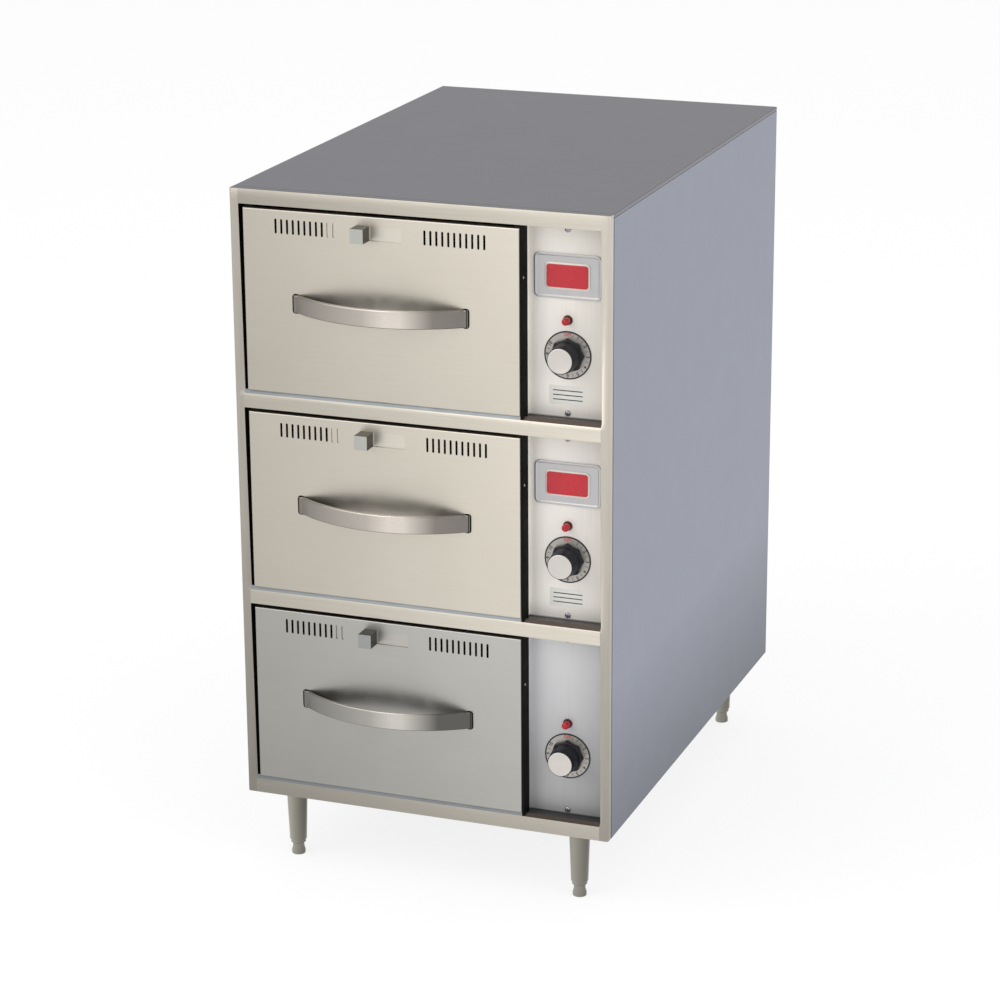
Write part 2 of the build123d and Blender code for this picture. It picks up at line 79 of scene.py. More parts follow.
def pickFaces(obj, test):  # test gets a face's centre and normal
    choose(obj)
    bpy.ops.object.mode_set(mode="EDIT")
    bpy.ops.mesh.select_mode(type="FACE")
    bpy.ops.mesh.select_all(action="DESELECT")
    mesh = bmesh.from_edit_mesh(obj.data)
    for face in mesh.faces:
        face.select_set(bool(test(face.calc_center_median(), face.normal)))
    mesh.select_flush_mode()
    bmesh.update_edit_mesh(obj.data)


def pickEdges(obj, test):  # test gets an edge's middle and direction
    choose(obj)
    bpy.ops.object.mode_set(mode="EDIT")
    bpy.ops.mesh.select_mode(type="EDGE")
    bpy.ops.mesh.select_all(action="DESELECT")
    mesh = bmesh.from_edit_mesh(obj.data)
    for edge in mesh.edges:
        a, b = (v.co for v in edge.verts)
        edge.select_set(bool(test((a + b) / 2, (b - a).normalized())))
    mesh.select_flush_mode()
    bmesh.update_edit_mesh(obj.data)


def bevelPicked(width, segments):
    bpy.ops.mesh.bevel(offset=width, segments=segments, affect="EDGES")


def faceOutward(obj):
    choose(obj)
    bpy.ops.object.mode_set(mode="EDIT")
    bpy.ops.mesh.select_all(action="SELECT")
    bpy.ops.mesh.remove_doubles(threshold=0.000002)
    bpy.ops.mesh.normals_make_consistent(inside=False)
    bpy.ops.object.mode_set(mode="OBJECT")


def addModifier(obj, kind, **settings):
    choose(obj)
    modifier = obj.modifiers.new(kind.title(), kind)
    for key, value in settings.items():
        setattr(modifier, key, value)
    bpy.ops.object.modifier_apply(modifier=modifier.name)


def shadeSmooth(obj, angle):  # edges flatter than this many degrees are shaded over
    choose(obj)
    bpy.ops.object.shade_smooth_by_angle(angle=math.radians(angle))


def softenEdges(obj, width, segments=2, angle=35):
    addModifier(
        obj, "BEVEL", width=width, segments=segments, limit_method="ANGLE",
        angle_limit=math.radians(angle), use_clamp_overlap=True,
    )
    shadeSmooth(obj, angle)


def addStack(name, stages, sides, place, facing="up"):
    # a turned piece: each stage is a radius and a height in millimetres
    clearSelection()
    radius, height = stages[0]
    bpy.ops.mesh.primitive_circle_add(
        vertices=sides, radius=radius * mm, fill_type="NGON",
        location=(0, 0, height * mm), enter_editmode=True,
    )
    obj = bpy.context.object
    obj.name = name
    for (r0, h0), (r1, h1) in zip(stages, stages[1:]):
        bpy.ops.mesh.extrude_region_move(TRANSFORM_OT_translate={"value": (0, 0, (h1 - h0) * mm)})
        if r1 != r0:
            ratio = r1 / r0
            bpy.ops.transform.resize(value=(ratio, ratio, 1), center_override=(0, 0, h1 * mm))
    bpy.ops.object.mode_set(mode="OBJECT")
    settle(obj)
    if facing == "front":
        obj.rotation_euler = (quarterTurn, 0, 0)
    obj.location = place
    settle(obj)
    faceOutward(obj)
    return obj


def copyTo(obj, name, shift):
    twin = obj.copy()
    twin.data = obj.data.copy()
    twin.name = name
    bpy.context.scene.collection.objects.link(twin)
    twin.data.transform(Matrix.Translation(shift))
    return twin


def joinAll(name, parts):
    clearSelection()
    for part in parts:
        part.select_set(True)
    bpy.context.view_layer.objects.active = parts[0]
    bpy.ops.object.join()
    parts[0].name = name
    return parts[0]


def finishPiece(obj, body, slotName, material, *nodes):
    obj.data.materials.clear()
    obj.data.materials.append(material)
    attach(obj, body)
    if nodes:
        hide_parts(*nodes)
    return obj


# Material helpers

def linear(hexColour):
    channels = [int(hexColour[i:i + 2], 16) / 255 for i in (1, 3, 5)]
    return [c / 12.92 if c <= 0.04045 else ((c + 0.055) / 1.055) ** 2.4 for c in channels] + [1.0]


def addNode(tree, kind, settings=None, links=None):
    node = tree.nodes.new(kind)
    for key, value in (settings or {}).items():
        setattr(node, key, value)
    for key, value in (links or {}).items():
        if isinstance(value, tuple) and hasattr(value[0], "outputs"):
            tree.links.new(value[0].outputs[value[1]], node.inputs[key])
        else:
            node.inputs[key].default_value = value
    return node


def newMaterial(name):
    material = bpy.data.materials.new(name)
    material.use_nodes = True
    tree = material.node_tree
    shader = tree.nodes["Principled BSDF"]
    return material, tree, shader


noiseLow, noiseHigh = 0.3, 0.7  # nearly all of a noise lies between these
dullBelow, dullAbove = 0.04, 0.06  # how far the roughness wanders
grainSize = {  # real grit is near 0.1 mm; drawn coarser so that it shows
    "across": 1.1 * mm, "along": 95 * mm, "height": 0.25 * mm, "speckHeight": 0.1 * mm,
}


def addNoise(tree, place, scale, detail, roughness=0.5):
    return addNode(tree, "ShaderNodeTexNoise", None, {
        "Vector": place, "Scale": scale, "Detail": detail, "Roughness": roughness})


def addRamp(tree, source, start, end, first, last):
    return addNode(tree, "ShaderNodeMapRange", None, {
        "Value": source, "From Min": start, "From Max": end, "To Min": first, "To Max": last})


def addSpread(tree, noise, middle, below, above):  # a value that wanders with a noise
    return addRamp(tree, (noise, "Fac"), noiseLow, noiseHigh, middle - below, middle + above)


def addProduct(tree, first, second):
    return addNode(tree, "ShaderNodeMath", {"operation": "MULTIPLY"}, {0: first, 1: second})


def addTint(tree, colour, light):  # the colour, made lighter or darker
    return addNode(tree, "ShaderNodeVectorMath", {"operation": "SCALE"}, {
        0: linear(colour)[:3], "Scale": (light, 0)})


def addBump(tree, shader, noise, depth, height):
    bump = addNode(tree, "ShaderNodeBump", None, {
        "Height": (noise, "Fac"), "Strength": depth, "Distance": height})
    tree.links.new(bump.outputs[0], shader.inputs["Normal"])


def brushedSteel(name, finish):
    # 18/8 stainless sheet, belt ground: fine straight lines and a soft broken glare
    material, tree, shader = newMaterial(name)
    scale = [1 / grainSize["across"]] * 3
    scale["XYZ".index(finish["grain"])] = 1 / grainSize["along"]
    place = addNode(tree, "ShaderNodeTexCoord")
    stretch = addNode(tree, "ShaderNodeMapping", None, {
        "Vector": (place, "Object"), "Scale": scale})
    grain = addNoise(tree, (stretch, "Vector"), 1.0, 3.0, 0.62)
    cloud = addNoise(tree, (place, "Object"), 4.5, 2.0)
    smear = addNoise(tree, (place, "Object"), 26.0, 4.0, 0.6)
    light = addSpread(tree, grain, 1, finish["contrast"], finish["contrast"])
    drift = addSpread(tree, cloud, 1, finish["clouds"], finish["clouds"])
    tone = addProduct(tree, (light, 0), (drift, 0))
    split = addNode(tree, "ShaderNodeSeparateXYZ", None, {0: (place, "Object")})
    for axis, start, first, end, last in finish.get("paintedShading", ()):  # painted light and shade: a slow change of brightness along an axis
        slope = addRamp(tree, (split, axis), start, end, first, last)
        tone = addProduct(tree, (tone, 0), (slope, 0))
    tint = addTint(tree, finish["colour"], tone)
    if "face" in finish:  # painted light: another colour before a place, where the sheet faces the room
        axis, start, end, paintedFaceColour = finish["face"]
        share = addRamp(tree, (split, axis), start, end, 1.0, 0.0)
        base = addNode(tree, "ShaderNodeMix", {"data_type": "RGBA"}, {
            0: (share, 0), 6: linear(finish["colour"]), 7: linear(paintedFaceColour)})
        tree.links.new(base.outputs[2], tint.inputs[0])
    tree.links.new(tint.outputs[0], shader.inputs["Base Color"])
    wander = finish.get("smear", 1.0)
    dull = addSpread(tree, smear, finish["roughness"], dullBelow * wander, dullAbove * wander)
    tree.links.new(dull.outputs[0], shader.inputs["Roughness"])
    addBump(tree, shader, grain, finish["depth"], grainSize["height"])
    shader.inputs["Metallic"].default_value = finish.get("metallic", 1.0)
    return material


def speckled(name, colour, roughness, metallic=0.0, grain=0.6 * mm, depth=0.05, contrast=0.05):
    # moulded, plated or printed surface with a fine even texture
    material, tree, shader = newMaterial(name)
    place = addNode(tree, "ShaderNodeTexCoord")
    fine = addNoise(tree, (place, "Object"), 1 / grain, 2.0)
    broad = addNoise(tree, (place, "Object"), 60.0, 3.0)
    tint = addTint(tree, colour, addSpread(tree, broad, 1, contrast, contrast))
    tree.links.new(tint.outputs[0], shader.inputs["Base Color"])
    dull = addSpread(tree, broad, roughness, dullBelow, dullAbove)
    tree.links.new(dull.outputs[0], shader.inputs["Roughness"])
    addBump(tree, shader, fine, depth, grainSize["speckHeight"])
    shader.inputs["Metallic"].default_value = metallic
    return material


# Materials

ledgeDrop = 4.4 * mm  # from the drawer front's foot to the ledge under it
legRadius = 14.5  # top of a leg, in millimetres
panelLow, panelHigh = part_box("control_panel_1")
recessLeft = panelLow[0] - 1 * mm


def unitLedge(unit):
    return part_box(f"drawer_front_{unit}")[0][2] - ledgeDrop


def panelTones(unit, *slow):  # painted shade: a dark line where the panel meets its ledge, painted light lighter to the left than to the right, then slow changes
    ledge = unitLedge(unit)
    across = ("X", panelLow[0] + 4 * mm, 1.22, panelHigh[0] - 4 * mm, 0.85)
    return [("Z", ledge + 1 * mm, 0.16, ledge + 3 * mm, 1.0), across, *slow]


def panelRise(unit):  # painted shade: the two upper panels darken a little towards their tops
    ledge = unitLedge(unit)
    return ("Z", ledge + 60 * mm, 1.06, ledge + 215 * mm, 0.98)


def legTones():  # a painted glint left of each leg's middle and a painted shade on its right side
    low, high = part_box("legs")
    left, right = low[0] + legRadius * mm, high[0] - legRadius * mm
    return [
        ("X", left - 14 * mm, 0.75, left - 7 * mm, 1.35),
        ("X", left - 4 * mm, 1.0, left + 14 * mm, 0.32),
        ("X", -10 * mm, 1.0, 10 * mm, 1.5),
        ("X", right - 14 * mm, 1.0, right - 7 * mm, 2.0),
        ("X", right - 4 * mm, 1.0, right + 14 * mm, 0.42),
    ]


tabEdge, tabFace = -0.3850, -0.3838  # the tab's front edge, and where its face begins
# painted light: the tab's front face much lighter, its top and right faces in painted shade, the
# plate a little lighter round it and towards the right
tabPaintedShade = [
    ("Y", tabEdge, 4.4, tabFace, 1.0), ("Y", -0.3645, 0.20, -0.3625, 1.22),
    ("X", -0.24, 0.84, 0.14, 1.14),
]
# painted shade at the strap's left end and a painted highlight towards the middle of the bow
strapPaintedSheen = [("X", -0.173, 0.43, -0.055, 1.0), ("X", -0.060, 1.0, -0.030, 1.48)]
# what several finishes share
rubbedSheet = {"grain": "X", "roughness": 0.42, "contrast": 0.03, "clouds": 0.006}
frontSheet = {"grain": "X", "roughness": 0.37, "depth": 0.07, "contrast": 0.03, "clouds": 0.03}
panelSheet = {
    "grain": "Z", "metallic": 0.25, "roughness": 0.52, "depth": 0.05, "contrast": 0.03,
    "clouds": 0.02,
}
strapSteel = {
    "grain": "X", "roughness": 0.28, "depth": 0.006, "contrast": 0.04, "clouds": 0.02,
    "smear": 0.3,
}
tabSheet = {
    "grain": "X", "roughness": 0.38, "depth": 0.05, "contrast": 0.03, "clouds": 0.02,
    "paintedShading": tabPaintedShade,
}
steelFinishes = {
    # belt ground 304 sheet, grain up the stile: fine upright lines that spread the glare; painted
    # reflection makes it darker to the left and low down, lighter to the right and at the top
    "stainlessFrameUpright": {
        "colour": "#BFB9AF", "grain": "Z", "roughness": 0.34, "depth": 0.10, "contrast": 0.07,
        "clouds": 0.03, "paintedShading": [
            ("X", -0.25, 0.82, 0.25, 1.12), ("Z", 0.12, 0.58, 0.5, 0.9),
            ("Z", 0.5, 1.0, 0.9, 1.2)]},
    # the same sheet, grain along the rail: level lines; a lighter, warmer copy of the stile's
    # colour, with a painted warm glare that fades downwards and to the left
    "stainlessFrameRail": {
        "colour": "#CEC8BC", "grain": "X", "roughness": 0.34, "depth": 0.10, "contrast": 0.06,
        "clouds": 0.03, "paintedShading": [
            ("X", -0.25, 0.68, 0.2, 1.11), ("Z", 0.105, 0.68, 0.38, 1.06),
            ("Z", 0.66, 1.0, 0.92, 0.87)]},
    # the frame's folded upper edge, rubbed dull: a grey line between the face and the top,
    # painted shade in the top sheet's grey
    "stainlessFrameTop": {
        "colour": "#8A8A8E", "grain": "X", "roughness": 0.42, "depth": 0.05, "contrast": 0.04,
        "clouds": 0.02},
    # edge sloping back under each drawer: painted light, pale where it faces the room, painted
    # shade inside the control recess, darker to the left and low down
    "stainlessLedge": {
        "colour": "#564D48", "grain": "X", "roughness": 0.50, "depth": 0.05, "contrast": 0.04,
        "clouds": 0.02, "face": ("X", recessLeft - 0.5 * mm, recessLeft + 0.5 * mm, "#9CA1A5"),
        "paintedShading": [("X", -0.25, 0.84, 0.25, 1.06), ("Z", 0.12, 0.72, 0.38, 1.0)]},
    # sheared and folded returns in the gaps, mill finish: its dark colour is painted shade, as
    # they see only the dark inside
    "stainlessReturnShade": {
        "colour": "#3A3734", "grain": "Y", "roughness": 0.5, "depth": 0.04, "contrast": 0.05,
        "clouds": 0.03},
    # bead rolled side sheet: almost even; its cool grey and the fading towards the foot are
    # painted shade, with a painted shadow in the seam at the frame
    "stainlessSide": {
        **rubbedSheet, "colour": "#9A9EAC", "grain": "Z", "depth": 0.04, "smear": 0.2,
        "paintedShading": [("Y", -0.3505, 0.25, -0.3475, 1.0), ("Z", 0.1, 0.53, 0.32, 0.98)]},
    # the top sheet, dulled by wiping: hardly any glare; its flat grey is painted shade, darker
    # than the front's steel
    "stainlessTop": {**rubbedSheet, "colour": "#8A898F", "depth": 0.04, "smear": 0.2},
    # drawer fronts, brushed from side to side: fine level lines; painted reflection makes each
    # lighter and warmer towards the right and darker low down, the lowest a darker shaded copy
    "stainlessFrontUpper": {
        **frontSheet, "colour": "#CEC8BC",
        "paintedShading": [("X", -0.24, 0.82, 0.14, 1.17), ("Z", 0.67, 0.92, 0.92, 1.02)]},
    "stainlessFrontMiddle": {
        **frontSheet, "colour": "#CDC7BB",
        "paintedShading": [("X", -0.24, 0.82, 0.14, 1.18), ("Z", 0.39, 0.94, 0.65, 1.02)]},
    "stainlessFrontLower": {
        **frontSheet, "colour": "#B0AEA9",
        "paintedShading": [("X", -0.24, 0.85, 0.14, 1.15), ("Z", 0.12, 0.87, 0.376, 1.04)]},
    # control panels, fine upright brushing under thin clear lacquer: painted light makes them
    # paler than the fronts and lighter to the left, with a painted shadow along each ledge; the
    # lowest is a shaded copy that darkens towards its foot
    "stainlessPanelUpper": {
        **panelSheet, "colour": "#E5E1DA", "paintedShading": panelTones(1, panelRise(1))},
    "stainlessPanelMiddle": {
        **panelSheet, "colour": "#E5E1DB", "paintedShading": panelTones(2, panelRise(2))},
    "stainlessPanelLower": {
        **panelSheet, "colour": "#DADADC",
        "paintedShading": panelTones(3, ("Z", 0.13, 0.54, 0.36, 0.90))},
    # bent strap, satin finished along its length: a painted highlight as a bright band at the
    # bow, painted shade past it and at its left end
    "satinHandleSteel": {
        **strapSteel, "colour": "#BAB3AB", "paintedShading": [
            *strapPaintedSheen, ("X", -0.010, 1.0, 0.030, 0.34), ("X", 0.030, 1.0, 0.060, 0.88)]},
    # the lowest strap is nearer the floor: the same finish as a greyer shaded copy, with deeper
    # painted shade past the bow
    "satinHandleSteelLow": {
        **strapSteel, "colour": "#AAA7A1",
        "paintedShading": [*strapPaintedSheen, ("X", -0.016, 1.0, 0.030, 0.20)]},
    # plain annealed sheet inside the cabinet: dull and even, with painted shade that darkens it
    # at the mouth of the gaps
    "plainCavitySheet": {
        "colour": "#8E8C88", "grain": "Y", "roughness": 0.45, "depth": 0.06, "contrast": 0.06,
        "clouds": 0.04, "paintedShading": [("Y", -0.3512, 0.06, -0.345, 1.0)]},
    # cold rolled slide members: long roll lines, a little brighter than the sheet
    "rolledSlideSteel": {
        "colour": "#A4A4A6", "grain": "Y", "roughness": 0.35, "depth": 0.10, "contrast": 0.08,
        "clouds": 0.05},
    # deep drawn food pan, bright annealed: soft clear reflections that pool in the corners
    "drawnPanSteel": {
        "colour": "#C4C4C2", "grain": "Y", "roughness": 0.32, "depth": 0.008, "contrast": 0.03,
        "clouds": 0.03, "smear": 0.4},
    # zinc alloy legs with satin plating: smooth, with one narrow painted upright glint and a
    # painted shade on the right of each
    "satinLegPlating": {
        "colour": "#8A877E", "grain": "Z", "roughness": 0.20, "depth": 0.01, "contrast": 0.03,
        "clouds": 0.03, "paintedShading": legTones()},
    # shutter plate with a folded tab: like the front; painted light makes the tab's face cooler
    # and lighter and its edges painted shade, the lower one a darker shaded copy
    "foldedTabUpper": {
        **tabSheet, "colour": "#C3BEB4", "face": ("Y", tabEdge, tabFace, "#C3C4BE")},
    "foldedTabLower": {
        **tabSheet, "colour": "#A8A6A0", "face": ("Y", tabEdge, tabFace, "#A8AAA8")},
}
steel = {name: brushedSteel(name, finish) for name, finish in steelFinishes.items()}
frameUpright, frameRail = steel["stainlessFrameUpright"], steel["stainlessFrameRail"]
frameTop, frameLedge = steel["stainlessFrameTop"], steel["stainlessLedge"]
sideSteel, topSteel = steel["stainlessSide"], steel["stainlessTop"]
levels = ("Upper", "Middle", "Lower")
frontSteel = {unit: steel["stainlessFront" + level] for unit, level in zip(units, levels)}
panelSteel = {unit: steel["stainlessPanel" + level] for unit, level in zip(units, levels)}
handleSteel = dict.fromkeys((1, 2), steel["satinHandleSteel"])
handleSteel[3] = steel["satinHandleSteelLow"]
cavitySteel = steel["plainCavitySheet"]
slideSteel, panSteel = steel["rolledSlideSteel"], steel["drawnPanSteel"]
legSteel = steel["satinLegPlating"]
tabSteel = dict.fromkeys((1, 2), steel["foldedTabUpper"])
tabSteel[3] = steel["foldedTabLower"]
returnShade = steel["stainlessReturnShade"]
# hot dip aluminised sheet: dull grey with a faint spangle
rearSteel = speckled("aluminisedRearSheet", "#A9ABAD", 0.48, 1.0, 1.4 * mm, 0.05, 0.06)
# chrome plated screws and rivets: small sharp glints
chrome = speckled("brightChrome", "#A0A0A4", 0.18, 1.0, 0.8 * mm, 0.02, 0.03)
# moulded nylon bush: black with a fine grain and a soft shine
glandNylon = speckled("mouldedNylon", "#18181A", 0.45, 0.0, 0.5 * mm, 0.10, 0.08)
# nickel alloy sheath browned by heat: dull and uneven
elementSheath = speckled("oxidisedSheath", "#4A4540", 0.55, 1.0, 0.9 * mm, 0.10, 0.15)
# anodised aluminium disc: satin silver behind the print
dialSilver = speckled("printedDialSilver", "#B5B1AA", 0.38, 0.7, 0.5 * mm, 0.04, 0.04)
# extruded rubber: flat black that takes almost no glare; on the handle pads it is painted shadow
# round the strap's ends, and on the recess seals it also stands in for the shade in the gap
sealAndShadeBlack = speckled("sealRubberAndPaintedShade", "#090808", 0.80, 0.0, 0.6 * mm, 0.04, 0.10)
# screen print: an even film of ink, matt, just off black and a plain red
printBlack = speckled("screenPrintBlack", "#1C1D22", 0.50, 0.0, 0.4 * mm, 0.03, 0.05)
printRed = speckled("screenPrintRed", "#C0202C", 0.50, 0.0, 0.4 * mm, 0.03, 0.05)
# moulded collar of the lamp: dark red brown, half shaded by its lens
bezelDark = speckled("mouldedBezel", "#3A1014", 0.35, 0.0, 0.4 * mm, 0.05, 0.05)
# phenolic moulding: brown black body inside, blue black knob with a dull shine outside
controlBody = speckled("phenolicBody", "#2E2822", 0.55, 0.0, 0.6 * mm, 0.08, 0.08)
knobBlack = speckled("phenolicKnob", "#0A0E1A", 0.38, 0.0, 0.7 * mm, 0.05, 0.10)
# spun aluminium cap: pale and milky, no clear reflection
capSilver = speckled("spunCapAluminium", "#D2CDC7", 0.36, 0.8, 0.5 * mm, 0.02, 0.03)
# metallised polyester label: whiter than the panel round it
labelFoil = speckled("foilLabel", "#E2E1DB", 0.45, 0.0, 0.5 * mm, 0.01, 0.03)
# cast plate, polished and plated: cool grey with a bright rolled border
badgeMetal = speckled("castBadgeMetal", "#BDBCBC", 0.32, 1.0, 1.5 * mm, 0.002, 0.03)
# fired enamel: deep glossy red, even
redEnamel = speckled("redEnamel", "#BE2530", 0.25, 0.0, 0.9 * mm, 0.01, 0.03)
# tinted acrylic lens: glossy, red all through, darker where it is thick
lensRed = speckled("redLensAcrylic", "#C2121D", 0.14, 0.0, 0.9 * mm, 0.02, 0.04)
for material, setting, value in (
    (sealAndShadeBlack, "Specular IOR Level", 0.15), (knobBlack, "Specular IOR Level", 0.35),
    (lensRed, "Transmission Weight", 0.25),
):
    material.node_tree.nodes["Principled BSDF"].inputs[setting].default_value = value
print("materials ready")

cadFinish = {
    "side_panel_left": sideSteel, "side_panel_right": sideSteel, "top_panel": topSteel,
    "bottom_panel": rearSteel, "rear_panel": rearSteel, "cord_gland": glandNylon,
    "cavity_wall_left": cavitySteel, "partition_wall": cavitySteel, "cavity_rear": cavitySteel,
    "decks": cavitySteel, "heating_elements": elementSheath, "element_saddles": cavitySteel,
    "outer_rails": slideSteel, "thermostats": controlBody, "leg_plates": legSteel,
}
for unit in units:
    cadFinish[f"control_panel_{unit}"] = panelSteel[unit]
    cadFinish[f"drawer_front_{unit}"] = frontSteel[unit]
    cadFinish[f"shutter_{unit}"] = tabSteel[unit]
    cadFinish[f"shutter_guides_{unit}"] = cavitySteel
    cadFinish[f"carriage_{unit}"] = cavitySteel
    cadFinish[f"inner_rails_{unit}"] = slideSteel
    cadFinish[f"middle_rails_{unit}"] = slideSteel
for nodeName, material in cadFinish.items():
    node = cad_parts[nodeName]
    for place in node.material_slots:
        place.material = material
print("frame dressed")


# Places read from the frame

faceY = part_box("front_frame")[0][1]
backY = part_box("rear_panel")[1][1]
dialFront, panelFront = (corner[1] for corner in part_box("dial_plates"))


def centreOf(node):
    low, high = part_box(node)
    return Vector([(a + b) / 2 for a, b in zip(low, high)])


# Face frame

frameSize = {
    "stile": 12.7 * mm, "rail": 20 * mm, "corner": 3 * mm, "edge": 0.6 * mm,
    "slope": 6.5 * mm,
}
frameFinishes = {"rail": frameRail, "top": frameTop, "ledge": frameLedge, "shade": returnShade}


def buildFaceFrame():
    low, high = (Vector(corner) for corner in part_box("front_frame"))
    stile, rail = frameSize["stile"], frameSize["rail"]
    gap = (high.z - low.z - 4 * rail) / 3
    cutsX = [low.x + stile, high.x - stile]
    cutsZ = [low.z + rail + i * (gap + rail) + side * gap
             for i in range(len(units)) for side in (0, 1)]
    clearSelection()
    bpy.ops.mesh.primitive_plane_add(
        size=1, rotation=(quarterTurn, 0, 0),
        location=((low.x + high.x) / 2, high.y, (low.z + high.z) / 2),
    )
    obj = bpy.context.object
    obj.name = "faceFrame"
    obj.scale = (high.x - low.x, high.z - low.z, 1)
    settle(obj)
    bpy.ops.object.mode_set(mode="EDIT")
    for cut in cutsX:
        bpy.ops.mesh.select_all(action="SELECT")
        bpy.ops.mesh.bisect(plane_co=(cut, 0, 0), plane_no=(1, 0, 0))
    for cut in cutsZ:
        bpy.ops.mesh.select_all(action="SELECT")
        bpy.ops.mesh.bisect(plane_co=(0, 0, cut), plane_no=(0, 0, 1))

    def inOpening(centre, normal):
        inside = cutsX[0] < centre.x < cutsX[1]
        return inside and any(a < centre.z < b for a, b in zip(cutsZ[::2], cutsZ[1::2]))

    pickFaces(obj, inOpening)
    bpy.ops.mesh.delete(type="FACE")
    bpy.ops.mesh.select_all(action="SELECT")
    bpy.ops.mesh.extrude_region_move(TRANSFORM_OT_translate={"value": (0, low.y - high.y, 0)})
    faceOutward(obj)
    pickEdges(obj, lambda mid, way: abs(way.z) > along and mid.y < low.y + mm and (
        mid.x < low.x + mm or mid.x > high.x - mm))
    bevelPicked(frameSize["corner"], 5)
    # the upper edge of each rail under a drawer slopes back into the opening
    pickEdges(obj, lambda mid, way: abs(way.x) > along and mid.y < low.y + mm and any(
        abs(mid.z - cut) < mm for cut in cutsZ[::2]))
    bevelPicked(frameSize["slope"], 2)
    faceOutward(obj)
    softenEdges(obj, frameSize["edge"])
    finishPiece(obj, "cabinet", "face_steel", frameUpright, "front_frame")
    for material in frameFinishes.values():
        obj.data.materials.append(material)
    place = {name: index + 1 for index, name in enumerate(frameFinishes)}
    # painted light: upward faces at the top take the top's painted grey, the left stile's inner
    # return and the upward faces in the openings take dark painted shade, the sloped edges the
    # ledge's painted light and shade, and the rails a lighter copy of the stile's steel
    for face in obj.data.polygons:
        spot, normal = face.center, face.normal
        between = cutsX[0] < spot.x < cutsX[1]
        if normal.z > 0.8 and spot.z > high.z - mm:
            face.material_index = place["top"]
        elif normal.x > along and abs(spot.x - cutsX[0]) < mm:
            face.material_index = place["shade"]
        elif normal.z > 0.95 and between:
            face.material_index = place["shade"]
        elif between:
            sloped = normal.z > 0.25 and spot.z < high.z - mm
            face.material_index = place["ledge" if sloped else "rail"]


buildFaceFrame()
print("face frame built")


# Handles

handleSize = {
    "foot": 5.5 * mm, "wall": 3 * mm, "corner": 4 * mm, "edge": 0.6 * mm, "steps": 40,
    "lift": 0.5 * mm, "border": 1.1 * mm, "flat": 2.5 * mm, "taper": 9 * mm, "roll": 2.2 * mm,
    "clear": 0.02 * mm,
}


